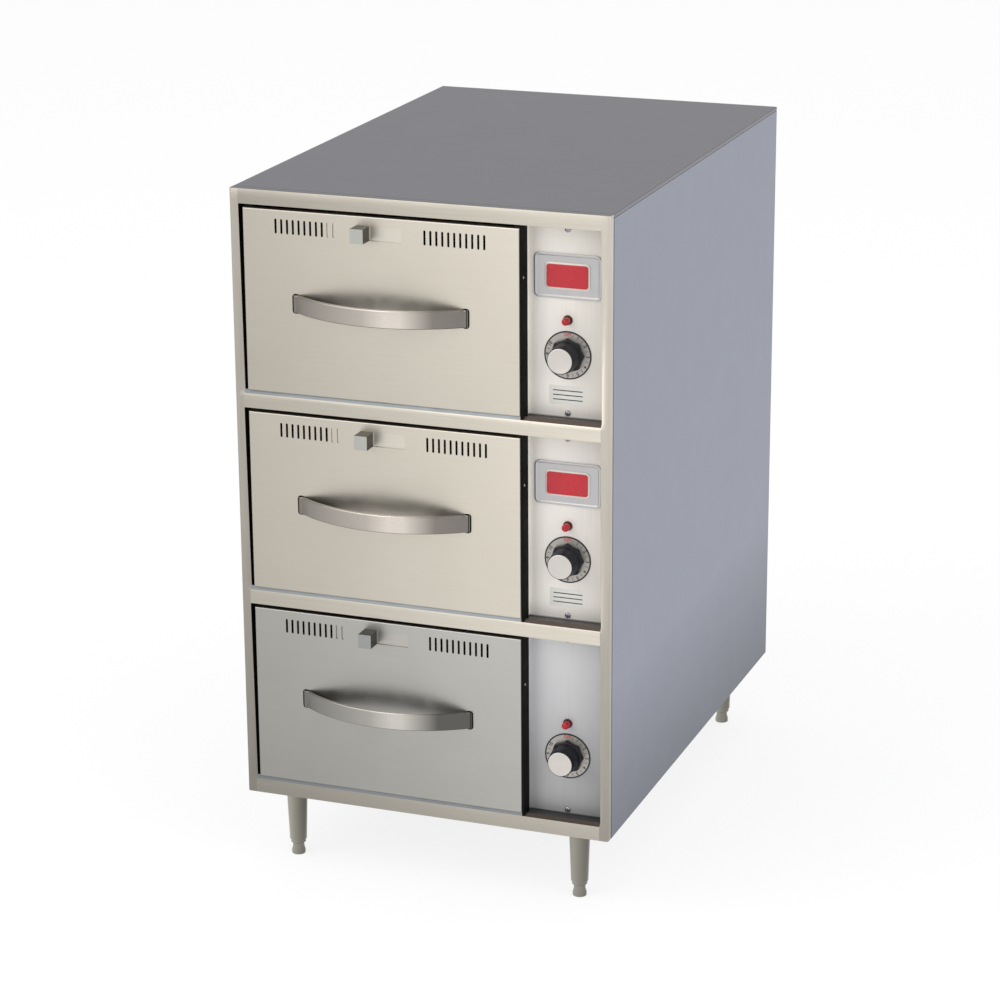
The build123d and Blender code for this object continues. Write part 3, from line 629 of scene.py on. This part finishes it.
def buildHandle(unit):
    low, high = (Vector(corner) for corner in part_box(f"handle_{unit}"))
    wall = handleSize["wall"]
    middle = (low.x + high.x) / 2
    spring = (high.x - low.x) / 2 - handleSize["foot"]
    rise = (high.y - low.y) - wall
    radius = (spring ** 2 + rise ** 2) / (2 * rise)
    half = math.asin(spring / radius)
    centreY = low.y + radius
    clearSelection()
    # a section of the strap at its left spring, turned about the bow's centre
    bpy.ops.mesh.primitive_plane_add(size=1)
    obj = bpy.context.object
    obj.name = f"handleStrap_{unit}"
    obj.scale = (wall, high.z - low.z, 1)
    settle(obj)
    obj.rotation_euler = (quarterTurn, 0, quarterTurn - half)
    across = radius - wall / 2
    obj.location = (
        middle - across * math.sin(half), centreY - across * math.cos(half), (low.z + high.z) / 2)
    settle(obj)
    bpy.ops.object.mode_set(mode="EDIT")
    bpy.ops.mesh.select_all(action="SELECT")
    bpy.ops.mesh.spin(
        steps=handleSize["steps"], angle=-2 * half, center=(middle, centreY, 0), axis=(0, 0, 1))
    bpy.ops.object.mode_set(mode="OBJECT")
    faceOutward(obj)
    for side, edge in ((-1, low.x), (1, high.x)):
        pickFaces(obj, lambda centre, normal: side * (centre.x - middle) > spring - wall
                  and abs(normal.z) < 0.5 and abs(side * math.cos(half) - normal.x) < 0.1)
        bpy.ops.mesh.extrude_region_move()
        bend = middle + side * (spring + handleSize["flat"])
        flattenEnd(obj, bend, high.y - handleSize["lift"], wall)
        reach = edge - bend
        bpy.ops.mesh.extrude_region_move(TRANSFORM_OT_translate={"value": (reach, 0, 0)})
        bpy.ops.object.mode_set(mode="OBJECT")
    faceOutward(obj)
    # the bends at both springs are rounded over a long way
    pickEdges(obj, lambda mid, way: abs(way.z) > along and
              abs(abs(mid.x - middle) - spring - handleSize["flat"]) < 0.2 * mm)
    bevelPicked(handleSize["flat"] * 0.9, 4)
    faceOutward(obj)
    pickEdges(obj, lambda mid, way: abs(way.y) > along
              and (mid.x < low.x + mm or mid.x > high.x - mm)
              and (mid.z < low.z + mm or mid.z > high.z - mm))
    bevelPicked(handleSize["corner"], 5)
    faceOutward(obj)
    # the whole border of the front is rolled over more than the other edges
    pickFaces(obj, lambda centre, normal: normal.y < -0.4 and abs(normal.z) < 0.3)
    bpy.ops.mesh.region_to_loop()
    bevelPicked(handleSize["roll"], 5)
    faceOutward(obj)
    softenEdges(obj, handleSize["edge"], 2, 45)
    finishPiece(obj, f"drawer_body_{unit}", "handle_steel", handleSteel[unit], f"handle_{unit}")
    # painted shade: the inside and the rolled lower edge take the dark return steel, as they see
    # only the drawer and the floor
    obj.data.materials.append(returnShade)
    for face in obj.data.polygons:
        if face.normal.y > 0.3 or face.normal.z < -0.7:
            face.material_index = 1
    # a black pad under each end, larger than the foot and tapering inwards, is painted shadow
    # round the strap's end
    for side, edge in ((-1, low.x), (1, high.x)):
        inner = middle + side * (spring - handleSize["taper"])
        border = handleSize["border"]
        x0, x1 = sorted((inner, edge + side * border))
        pad = addBlock(
            f"handleShadowPad_{unit}_{'left' if side < 0 else 'right'}",
            (x0, high.y - handleSize["lift"] + handleSize["clear"], low.z - border),
            (x1, high.y - handleSize["clear"], high.z + border))
        pickEdges(pad, lambda mid, way: abs(way.y) > along and side * (mid.x - edge) > 0)
        bevelPicked(handleSize["corner"], 5)
        pickEdges(pad, lambda mid, way: abs(way.y) > along and abs(mid.x - inner) < 0.1 * mm)
        bevelPicked(handleSize["taper"], 3)
        faceOutward(pad)
        finishPiece(pad, f"drawer_body_{unit}", "bezel_dark", sealAndShadeBlack)


def flattenEnd(obj, x, seatY, wall):  # the picked end face turns square to the drawer front
    mesh = bmesh.from_edit_mesh(obj.data)
    picked = [v for v in mesh.verts if v.select]
    line = sum(v.co.y for v in picked) / len(picked)
    for v in picked:
        v.co.x = x
        v.co.y = seatY if v.co.y > line else seatY - wall
    bmesh.update_edit_mesh(obj.data)


for unit in units:
    buildHandle(unit)
print("handles built")


# Knobs and their caps

knobSize = {
    "point": 23.0, "valley": 20.4, "skirt": 6.5, "neck": 19.2, "top": 17.4, "height": 30.7,
    "cap": 16.4, "lobes": 8, "sides": 96, "inset": 2.2, "dome": 0.8, "edge": 0.5, "clear": 0.3,
}


def buildKnob(unit):
    low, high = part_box(f"knob_{unit}")
    clear = dialFront - knobSize["clear"] * mm  # the skirt's rear is just clear of the dial
    seat = Vector(((low[0] + high[0]) / 2, clear, (low[2] + high[2]) / 2))
    count = knobSize["lobes"] * 2
    clearSelection()
    bpy.ops.mesh.primitive_cylinder_add(
        vertices=count, radius=knobSize["point"] * mm, depth=knobSize["skirt"] * mm,
        end_fill_type="NGON", location=(0, 0, knobSize["skirt"] / 2 * mm),
    )
    skirt = bpy.context.object
    settle(skirt)
    for v in skirt.data.vertices:  # every other corner is drawn in, which leaves eight points
        turn = round(math.degrees(math.atan2(v.co.x, v.co.y)) / (360 / count))
        if turn % 2:
            v.co.x *= knobSize["valley"] / knobSize["point"]
            v.co.y *= knobSize["valley"] / knobSize["point"]
    pickFaces(skirt, lambda centre, normal: normal.z > along)
    bpy.ops.mesh.inset(thickness=knobSize["inset"] * mm)
    bpy.ops.transform.translate(value=(0, 0, knobSize["dome"] * mm))
    bpy.ops.object.mode_set(mode="OBJECT")
    softenEdges(skirt, knobSize["edge"] * mm, 2, 20)
    skirt.rotation_euler = (quarterTurn, 0, 0)
    skirt.location = seat
    settle(skirt)
    neck, rise, rim, r = (knobSize[k] for k in ("neck", "skirt", "top", "cap"))
    top = knobSize["height"]
    grip = addStack("grip", [
        (neck + 0.8, 0), (neck + 0.8, rise + 0.6), (neck, rise + 1.6), (neck - 0.6, rise + 9),
        (rim, top - 1.2), (rim - 0.3, top - 0.5), (rim - 0.8, top), (r, top), (r, top - 0.5),
    ], knobSize["sides"], seat, "front")
    shadeSmooth(grip, 35)
    obj = joinAll(f"knobGrip_{unit}", [skirt, grip])
    finishPiece(obj, f"knob_body_{unit}", "knob_black", knobBlack, f"knob_{unit}")
    cap = addStack(f"knobCap_{unit}", [
        (r, top - 0.5), (r, top - 0.1), (r - 0.4, top + 0.2), (r - 1.4, top + 0.3),
        (r - 1.9, top + 0.1),
    ], knobSize["sides"], seat, "front")
    shadeSmooth(cap, 50)
    finishPiece(cap, f"knob_body_{unit}", "cap_silver", capSilver, f"knob_cap_{unit}")


for unit in units:
    buildKnob(unit)
print("knobs built")


# Dials with plain numbers

dialSize = {
    "radius": 31.7, "rim": 1.8, "numberRadius": 26.9, "number": 6.4, "mark": 4.0, "off": 6.0,
    "step": 30, "last": 10, "bold": 0.14, "ink": 0.03, "sides": 128, "sunk": 0.25,
}


def addText(words, size, turn, place):
    clearSelection()
    bpy.ops.object.text_add()
    obj = bpy.context.object
    obj.data.body = words
    obj.data.size = size * mm
    obj.data.extrude = dialSize["ink"] * mm
    obj.data.offset = dialSize["bold"] * mm
    obj.data.align_x = "CENTER"
    obj.data.align_y = "CENTER"
    bpy.ops.object.convert(target="MESH")
    obj = bpy.context.object
    upright = Matrix.Translation(place) @ Matrix.Rotation(quarterTurn, 4, "X")
    obj.data.transform(upright @ Matrix.Rotation(-turn, 4, "Z"))
    return obj


def buildDial(unit):
    knobCentre = centreOf(f"knob_cap_{unit}")
    seat = Vector((knobCentre.x, panelFront, knobCentre.z))
    thick = (panelFront - dialFront) / mm
    r, sides = dialSize["radius"], dialSize["sides"]
    inner, sunk = r - dialSize["rim"], thick - dialSize["sunk"]
    plate = addStack(f"dialPlate_{unit}", [(inner, 0), (inner, sunk)], sides, seat, "front")
    shadeSmooth(plate, 35)
    finishPiece(plate, "cabinet", "dial_silver", dialSilver, "dial_plates")
    rim = addStack(f"dialRim_{unit}", [
        (r, 0), (r, thick - 0.3), (r - 0.3, thick), (inner, thick), (inner, sunk),
        (inner - 0.2, sunk - 0.03),
    ], sides, seat, "front")
    pickFaces(rim, lambda centre, normal: (centre - seat).length < 5 * mm)
    bpy.ops.mesh.delete(type="FACE")
    bpy.ops.object.mode_set(mode="OBJECT")
    addModifier(rim, "SOLIDIFY", thickness=0.15 * mm, offset=-1)
    shadeSmooth(rim, 35)
    finishPiece(rim, "cabinet", "bezel_dark", printBlack)
    front = seat - Vector((0, (thick - 0.24) * mm, 0))
    reach = dialSize["numberRadius"] * mm

    def printed(words, size, turn):
        spot = front + Vector((reach * math.sin(turn), 0, reach * math.cos(turn)))
        return addText(words, size, turn, spot)

    marks = []
    for i in range(1, dialSize["last"] + 1):
        turn = math.radians(dialSize["step"] * i)
        marks.append(printed(str(i), dialSize["number"], turn))
        marks.append(printed("|", dialSize["mark"], turn - math.radians(dialSize["step"] / 2)))
    numbers = joinAll(f"dialNumbers_{unit}", marks)
    finishPiece(numbers, "cabinet", "bezel_dark", printBlack)
    off = printed("OFF", dialSize["off"], 0)
    off.name = f"dialOff_{unit}"
    finishPiece(off, "cabinet", "lens_red", printRed)


for unit in units:
    buildDial(unit)
print("dials built")


# Pilot lamps

lampSize = {"rise": 46.0, "lens": 4.75, "bezel": 6.4, "reach": 13.0, "sides": 48}


def buildLamp(unit):
    knobCentre = centreOf(f"knob_cap_{unit}")
    seat = Vector((knobCentre.x, panelFront, knobCentre.z + lampSize["rise"] * mm))
    r, reach = lampSize["lens"], lampSize["reach"]
    lens = addStack(f"lampLens_{unit}", [
        (r * 0.86, 0), (r * 0.86, 2.4), (r, 2.8), (r, reach - 2.2), (r * 0.92, reach - 1.2),
        (r * 0.72, reach - 0.4), (r * 0.4, reach - 0.05), (r * 0.1, reach),
    ], lampSize["sides"], seat, "front")
    shadeSmooth(lens, 40)
    finishPiece(lens, "cabinet", "lens_red", lensRed, "lamp_lenses")
    b = lampSize["bezel"]
    bezel = addStack(f"lampBezel_{unit}", [
        (b, 0), (b, 1.2), (b - 0.5, 2.0), (b - 1.3, 2.2), (b - 1.6, 1.4),
    ], lampSize["sides"], seat, "front")
    shadeSmooth(bezel, 35)
    finishPiece(bezel, "cabinet", "bezel_dark", bezelDark, "lamp_bezels")


for unit in units:
    buildLamp(unit)
print("lamps built")


# Screws

screwSize = {
    "radius": 4.0, "height": 2.4, "slot": 0.9, "slotLength": 4.4, "slotDepth": 1.1,
    "lower": 7.0, "upper": 247.0, "sides": 40, "rearRows": 4,
}


def buildScrew(turn):
    r, h = screwSize["radius"], screwSize["height"]
    head = addStack("screwPattern", [
        (r, 0), (r, h * 0.3), (r * 0.93, h * 0.55), (r * 0.78, h * 0.78), (r * 0.5, h * 0.95),
        (r * 0.15, h),
    ], screwSize["sides"], (0, 0, 0))
    length, width, deep = (screwSize[k] * mm for k in ("slotLength", "slot", "slotDepth"))
    for a, b in ((length, width), (width, length)):
        cutter = addBlock(
            "slotCutter", (-a / 2, -b / 2, h * mm - deep), (a / 2, b / 2, h * mm + mm))
        addModifier(head, "BOOLEAN", operation="DIFFERENCE", object=cutter)
        bpy.data.objects.remove(cutter, do_unlink=True)
    shadeSmooth(head, 35)
    head.data.transform(Matrix.Rotation(turn, 4, "X"))
    return head


def buildScrews():
    pattern = buildScrew(quarterTurn)
    for unit in units:
        x = centreOf(f"knob_cap_{unit}").x
        for name in ("Lower", "Upper"):
            z = unitLedge(unit) + screwSize[name.lower()] * mm
            screw = copyTo(pattern, f"panelScrew{name}_{unit}", (x, panelFront, z))
            finishPiece(screw, "cabinet", "screw_chrome", chrome, "panel_screws")
    bpy.data.objects.remove(pattern, do_unlink=True)
    pattern = buildScrew(-quarterTurn)
    low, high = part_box("rear_screws")
    r = screwSize["radius"] * mm
    for side, x in (("Left", low[0] + r), ("Right", high[0] - r)):
        for i in range(screwSize["rearRows"]):
            z = low[2] + r + (high[2] - low[2] - 2 * r) * i / (screwSize["rearRows"] - 1)
            screw = copyTo(pattern, f"rearScrew{side}_{i + 1}", (x, backY, z))
            finishPiece(screw, "cabinet", "screw_chrome", chrome, "rear_screws")
    bpy.data.objects.remove(pattern, do_unlink=True)


buildScrews()
print("screws built")


# Blank badge plates and rating labels on the two upper units

plateSize = {  # width, height, thickness and corner radius
    "badge": (90.0, 58.0, 2.2, 7.0), "surround": (61.0, 35.0, 0.7, 6.0),
    "field": (56.0, 30.0, 0.4, 4.0), "label": (50.0, 25.0, 0.25, 1.5),
    "badgeRise": 103.0, "labelDrop": 53.0, "border": 2.6, "step": 0.9,
}
ruleSize = {"count": 3, "pitch": 6, "halfLength": 20, "halfHeight": 0.65}


def roundedPlate(name, width, height, thick, corner, centre):
    half = Vector((width / 2 * mm, 0, height / 2 * mm))
    obj = addBlock(name, centre - half - Vector((0, thick * mm, 0)), centre + half)
    pickEdges(obj, lambda mid, way: abs(way.y) > along)
    bevelPicked(corner * mm, 8)
    bpy.ops.object.mode_set(mode="OBJECT")
    return obj


def buildPlates(unit):
    knobCentre = centreOf(f"knob_cap_{unit}")
    step = plateSize["step"] * mm
    seat = Vector((knobCentre.x, panelFront, knobCentre.z + plateSize["badgeRise"] * mm))
    badge = roundedPlate(f"badgePlate_{unit}", *plateSize["badge"], seat)
    pickFaces(badge, lambda centre, normal: normal.y < -along)
    bpy.ops.mesh.inset(thickness=plateSize["border"] * mm)
    bpy.ops.mesh.inset(thickness=step)
    bpy.ops.transform.translate(value=(0, step, 0))
    bpy.ops.object.mode_set(mode="OBJECT")
    softenEdges(badge, 0.4 * mm, 2, 30)
    finishPiece(badge, "cabinet", "cap_silver", badgeMetal)
    front = seat - Vector((0, plateSize["badge"][2] * mm - step, 0))
    surround = roundedPlate(f"badgeSurround_{unit}", *plateSize["surround"], front)
    softenEdges(surround, 0.3 * mm, 2, 30)
    finishPiece(surround, "cabinet", "cap_silver", capSilver)
    front -= Vector((0, plateSize["surround"][2] * mm, 0))
    field = roundedPlate(f"badgeField_{unit}", *plateSize["field"], front)
    softenEdges(field, 0.18 * mm, 2, 30)
    finishPiece(field, "cabinet", "lens_red", redEnamel)
    seat = Vector((knobCentre.x, panelFront, knobCentre.z - plateSize["labelDrop"] * mm))
    label = roundedPlate(f"ratingLabel_{unit}", *plateSize["label"], seat)
    softenEdges(label, 0.08 * mm, 1, 30)
    finishPiece(label, "cabinet", "dial_silver", labelFoil)
    front = seat - Vector((0, plateSize["label"][2] * mm, 0))
    half = Vector((ruleSize["halfLength"], 0, ruleSize["halfHeight"])) * mm
    rules = []
    for i in range(ruleSize["count"]):
        rise = (i - (ruleSize["count"] - 1) / 2) * ruleSize["pitch"] * mm
        centre = front + Vector((0, 0, rise))
        rules.append(addBlock("rule", centre - half - Vector((0, 0.04 * mm, 0)),
                              centre + half - Vector((0, 0.005 * mm, 0))))
    finishPiece(joinAll(f"labelRules_{unit}", rules), "cabinet", "bezel_dark", printBlack)


for unit in (1, 2):
    buildPlates(unit)
print("plates built")


# Black seals between the drawers and the control recess, each with one rivet; their black also
# stands in for the shade in the gap

sealSize = {
    "wall": 1.2, "leg": 0.9, "lip": 0.7, "fold": 0.26, "clear": 0.02, "stop": 6.0,
    "foot": 0.4, "head": 253.6, "rivet": 1.8, "rivetDrop": 64.0, "rivetDepth": 6.0,
    "rivetSides": 24,
}


def buildSeal(unit):
    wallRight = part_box(f"control_panel_{unit}")[0][0] + sealSize["wall"] * mm
    outside = wallRight + sealSize["leg"] * mm
    fold = faceY + sealSize["fold"] * mm
    ledge, clear = unitLedge(unit), sealSize["clear"] * mm
    seal = addBlock(
        f"recessSeal_{unit}", (wallRight + clear, faceY + clear, ledge + sealSize["foot"] * mm),
        (outside, panelFront - sealSize["stop"] * mm, ledge + sealSize["head"] * mm))
    choose(seal)
    bpy.ops.object.mode_set(mode="EDIT")
    bpy.ops.mesh.select_all(action="SELECT")
    bpy.ops.mesh.bisect(plane_co=(0, fold, 0), plane_no=(0, 1, 0))
    pickFaces(seal, lambda centre, normal: normal.x < -along and centre.y < fold)
    reach = -(sealSize["wall"] + sealSize["lip"]) * mm
    bpy.ops.mesh.extrude_region_move(TRANSFORM_OT_translate={"value": (reach, 0, 0)})
    bpy.ops.object.mode_set(mode="OBJECT")
    faceOutward(seal)
    finishPiece(seal, "cabinet", "bezel_dark", sealAndShadeBlack)
    r = sealSize["rivet"]
    rivet = addStack(f"sealRivet_{unit}", [
        (r, 0), (r, 0.3), (r * 0.8, 0.8), (r * 0.4, 1.1), (r * 0.1, 1.15),
    ], sealSize["rivetSides"], (0, 0, 0))
    rivet.data.transform(Matrix.Rotation(quarterTurn, 4, "Y"))
    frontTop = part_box(f"drawer_front_{unit}")[1][2]
    rivet.data.transform(Matrix.Translation((
        outside, faceY + sealSize["rivetDepth"] * mm, frontTop - sealSize["rivetDrop"] * mm)))
    shadeSmooth(rivet, 50)
    finishPiece(rivet, "cabinet", "screw_chrome", chrome)


for unit in units:
    buildSeal(unit)
print("seals built")


# Legs and levelling feet

legSize = {
    "top": legRadius, "bottom": 11.75, "collar": 10.4, "foot": 9.5, "neck": 8.0, "stem": 5.0,
    "footHeight": 17.0, "sides": 64,
}


def buildLeg(number):
    low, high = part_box(f"foot_{number}")
    centre = Vector(((low[0] + high[0]) / 2, (low[1] + high[1]) / 2, 0))
    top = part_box("legs")[1][2] / mm
    f, sides = legSize["footHeight"], legSize["sides"]
    wide, narrow, collar = (legSize[k] for k in ("top", "bottom", "collar"))
    leg = addStack(f"legTaper_{number}", [
        (collar - 0.6, f), (collar, f + 0.6), (collar, f + 3.2), (narrow - 0.5, f + 4.6),
        (narrow, f + 5.4), (wide - 0.1, top - 2), (wide, top - 1), (wide, top),
    ], sides, centre)
    shadeSmooth(leg, 30)
    finishPiece(leg, "cabinet", "leg_metal", legSteel, "legs")
    r, neck, stem = (legSize[k] for k in ("foot", "neck", "stem"))
    foot = addStack(f"levellingFoot_{number}", [
        (r - 1.2, 0), (r - 0.2, 0.5), (r, 1.4), (r, 5.5), (neck, 10.5), (neck, f - 0.5),
        (stem, f - 0.4), (stem, f + 8),
    ], sides, centre)
    shadeSmooth(foot, 30)
    finishPiece(foot, f"levelling_foot_{number}", "leg_metal", legSteel, f"foot_{number}")


for number in range(1, 5):
    buildLeg(number)
print("legs built")


# Food pans

panSize = {"corner": 46 * mm, "segments": 10, "wall": 0.8 * mm}
panStages = [  # inset from the rim's edge and depth, in millimetres
    (0.0, 0.6), (0.5, 0.0), (9.5, 0.0), (11.5, 0.8), (12.2, 3.0), (20.4, 128.0), (21.6, 140.0),
    (24.5, 146.0), (30.0, 149.0), (36.0, 150.0),
]


def buildPan(unit):
    low, high = (Vector(corner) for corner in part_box(f"pan_{unit}"))
    width, length = high.x - low.x, high.y - low.y
    clearSelection()
    bpy.ops.mesh.primitive_plane_add(size=1)
    obj = bpy.context.object
    obj.name = f"foodPan_{unit}"
    obj.scale = (width, length, 1)
    settle(obj)
    bpy.ops.object.mode_set(mode="EDIT")
    bpy.ops.mesh.select_all(action="SELECT")
    bpy.ops.mesh.bevel(
        offset=panSize["corner"], segments=panSize["segments"], affect="VERTICES")
    bpy.ops.mesh.select_all(action="SELECT")
    bpy.ops.transform.translate(value=(0, 0, -panStages[0][1] * mm))
    bpy.ops.mesh.delete(type="ONLY_FACE")
    bpy.ops.mesh.select_mode(type="EDGE")
    bpy.ops.mesh.select_all(action="SELECT")
    for (inset0, depth0), (inset1, depth1) in zip(panStages, panStages[1:]):
        rise = (depth0 - depth1) * mm
        bpy.ops.mesh.extrude_edges_move(TRANSFORM_OT_translate={"value": (0, 0, rise)})
        ratioX = (width - 2 * inset1 * mm) / (width - 2 * inset0 * mm)
        ratioY = (length - 2 * inset1 * mm) / (length - 2 * inset0 * mm)
        bpy.ops.transform.resize(value=(ratioX, ratioY, 1), center_override=(0, 0, 0))
    bpy.ops.mesh.edge_face_add()
    bpy.ops.object.mode_set(mode="OBJECT")
    obj.location = ((low.x + high.x) / 2, (low.y + high.y) / 2, high.z)
    settle(obj)
    choose(obj)
    bpy.ops.object.mode_set(mode="EDIT")
    bpy.ops.mesh.select_all(action="SELECT")
    bpy.ops.mesh.normals_make_consistent(inside=False)
    bpy.ops.object.mode_set(mode="OBJECT")
    addModifier(obj, "SOLIDIFY", thickness=panSize["wall"], offset=panSide(obj))
    shadeSmooth(obj, 40)
    finishPiece(obj, f"drawer_body_{unit}", "pan_steel", panSteel, f"pan_{unit}")


def panSide(obj):  # the sheet thickens to the outside of the well and below the rim
    floor = min(obj.data.polygons, key=lambda face: face.center.z)
    return 1 if floor.normal.z < 0 else -1


for unit in units:
    buildPan(unit)
print("pans built")


# Floor, light and camera

stageSize = {
    "floor": 80, "colour": "#F2F2F2", "roughness": 0.9, "share": 0.74, "glow": 1.08,
    "ahead": 0.86, "behind": 0.62, "aim": 0.45,
}


def buildStage():
    clearSelection()
    bpy.ops.mesh.primitive_plane_add(size=stageSize["floor"], location=(0, 0, 0))
    floor = bpy.context.object
    floor.name = "studioFloor"
    material, tree, shader = newMaterial("paleFloor")
    shader.inputs["Base Color"].default_value = linear(stageSize["colour"])
    shader.inputs["Roughness"].default_value = stageSize["roughness"]
    # the floor glows only for the camera and in clear reflections
    path = addNode(tree, "ShaderNodeLightPath")
    seen = addNode(tree, "ShaderNodeMath", {"operation": "MAXIMUM"}, {
        0: (path, "Is Camera Ray"), 1: (path, "Is Glossy Ray")})
    seen = addNode(tree, "ShaderNodeMath", {"operation": "MAXIMUM"}, {
        0: (seen, 0), 1: (path, "Is Transmission Ray")})
    share = addProduct(tree, (seen, 0), stageSize["share"])
    glow = addNode(tree, "ShaderNodeEmission", None, {
        "Color": (1, 1, 1, 1), "Strength": stageSize["glow"]})
    mix = addNode(tree, "ShaderNodeMixShader", None, {
        0: (share, 0), 1: (shader, 0), 2: (glow, 0)})
    tree.links.new(mix.outputs[0], tree.nodes["Material Output"].inputs["Surface"])
    floor.data.materials.append(material)


lightSize = {
    "key": {
        "place": (-2.6, -3.4, 3.2), "size": 4.2, "power": 80, "colour": (1.0, 0.975, 0.94)},
    "fill": {"place": (3.4, -1.6, 2.6), "size": 3.6, "power": 34, "colour": (0.93, 0.96, 1.0)},
    "back": {"place": (-0.8, 3.4, 4.2), "size": 2.4, "power": 6, "colour": (1.0, 1.0, 1.0)},
}


def buildLights():
    for name, setting in lightSize.items():
        clearSelection()
        bpy.ops.object.light_add(type="AREA", location=setting["place"])
        lamp = bpy.context.object
        lamp.name = name + "Light"
        lamp.data.size = setting["size"]
        lamp.data.energy = setting["power"]
        lamp.data.color = setting["colour"]
        toward = Vector((0, 0, stageSize["aim"])) - Vector(setting["place"])
        lamp.rotation_euler = toward.to_track_quat("-Z", "Y").to_euler()
    world = bpy.data.worlds.new("paleStudio")
    bpy.context.scene.world = world
    world.use_nodes = True
    tree = world.node_tree
    sky = tree.nodes["Background"]
    path = addNode(tree, "ShaderNodeLightPath")
    way = addNode(tree, "ShaderNodeTexCoord")
    split = addNode(tree, "ShaderNodeSeparateXYZ", None, {0: (way, "Generated")})
    # the room is bright before the cabinet and a little darker behind it
    depth = addRamp(tree, (split, "Y"), -0.6, 0.9, stageSize["ahead"], stageSize["behind"])
    white = addNode(tree, "ShaderNodeMath", {"operation": "MAXIMUM"}, {
        0: (path, "Is Camera Ray"), 1: (depth, 0)})
    tree.links.new(white.outputs[0], sky.inputs["Strength"])
    sky.inputs["Color"].default_value = (1, 1, 1, 1)


cameraSize = {
    "azimuth": 20.58, "elevation": 17.89, "roll": -0.38, "distance": 4.4996, "lens": 114.33,
    "sensor": 36, "reach": 200, "target": (-0.0255, 0.001, 0.4344),
}


def buildCamera():
    azimuth, elevation, roll = (
        math.radians(cameraSize[k]) for k in ("azimuth", "elevation", "roll"))
    level = math.cos(elevation)
    back = Vector((math.sin(azimuth) * level, -math.cos(azimuth) * level, math.sin(elevation)))
    right = (-back).cross(Vector((0, 0, 1))).normalized()
    up = right.cross(-back)
    tiltedRight = right * math.cos(roll) + up * math.sin(roll)
    tiltedUp = up * math.cos(roll) - right * math.sin(roll)
    data = bpy.data.cameras.new("photoCamera")
    data.sensor_width = cameraSize["sensor"]
    data.lens = cameraSize["lens"]
    data.clip_end = cameraSize["reach"]
    camera = bpy.data.objects.new("photoCamera", data)
    bpy.context.scene.collection.objects.link(camera)
    turn = Matrix((tiltedRight, tiltedUp, back)).transposed().to_4x4()
    place = Vector(cameraSize["target"]) + back * cameraSize["distance"]
    camera.matrix_world = Matrix.Translation(place) @ turn
    bpy.context.scene.camera = camera


buildStage()
buildLights()
buildCamera()
bpy.context.scene.view_settings.view_transform = "Standard"
print("studio ready")
